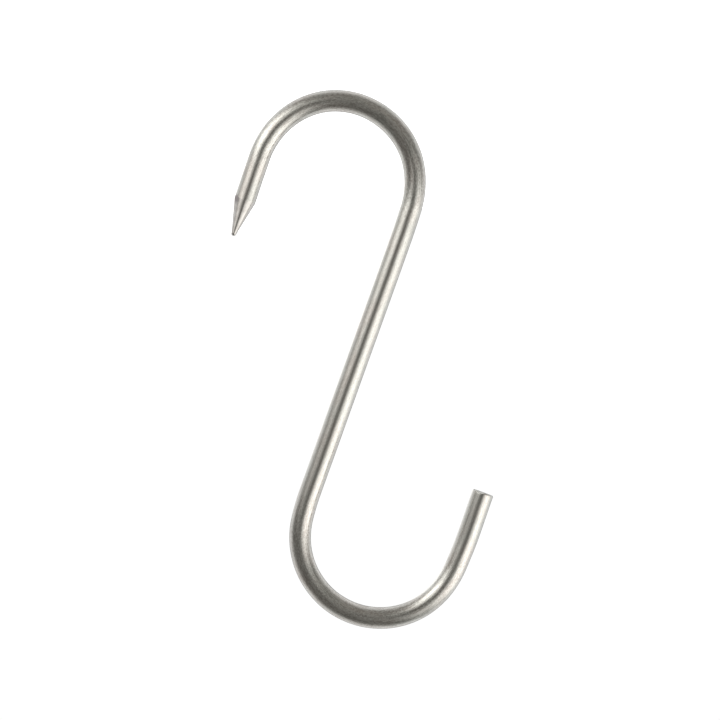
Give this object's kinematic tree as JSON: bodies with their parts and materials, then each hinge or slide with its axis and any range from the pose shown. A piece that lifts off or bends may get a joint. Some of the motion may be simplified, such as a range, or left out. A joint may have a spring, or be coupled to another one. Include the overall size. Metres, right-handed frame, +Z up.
{
  "type": "meat hook",
  "caption": "S-shaped meat hook of round stainless bar, with a plain bend that goes over a rail and a pointed bend that holds the meat.",
  "frame": {"origin": "where the rail bears on the inside of the upper bend, on the bar's inner surface", "axes": "+Z up along the line of the load, through both bend centres; the bar bends in the XZ plane; front faces -Y, so from the front the square end is low on the left of the upper bend and the point is high on the right of the lower bend"},
  "size_m": [0.0836, 0.008, 0.2],
  "materials": {
    "stainless": "drawn bright stainless bar with fine lengthwise draw lines, bending marks and a ground point"
  },
  "bodies": {
    "root": {"hook_bar": "stainless"}
  },
  "joints": []
}
